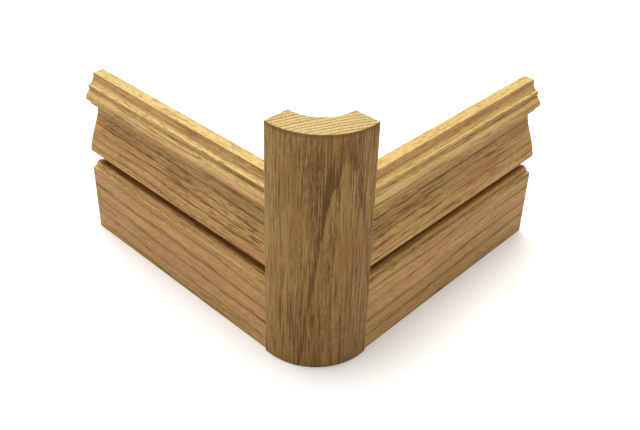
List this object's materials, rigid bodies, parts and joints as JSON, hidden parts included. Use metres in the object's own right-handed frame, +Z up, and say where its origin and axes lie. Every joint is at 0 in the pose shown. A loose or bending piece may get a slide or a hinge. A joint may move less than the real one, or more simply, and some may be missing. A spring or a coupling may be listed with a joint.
{
  "type": "corner base block",
  "caption": "Oak corner base block with a round front and a hollow back, fitted round a bullnose wall corner and joined on each side by a length of profiled base moulding.",
  "frame": {"origin": "on the floor where the planes of the two wall faces meet, in the middle of the block's underside", "axes": "+Z up; the left wall face is the plane y = 0 and its moulding runs to -X; the right wall face is the plane x = 0 and its moulding runs to +Y"},
  "size_m": [0.1904, 0.1886, 0.14],
  "materials": {
    "block_oak": "bare sanded oak with upright grain",
    "moulding_oak": "bare sanded oak with grain along the length"
  },
  "bodies": {
    "root": {"corner_block": "block_oak", "left_base_moulding": "moulding_oak", "right_base_moulding": "moulding_oak"}
  },
  "joints": []
}
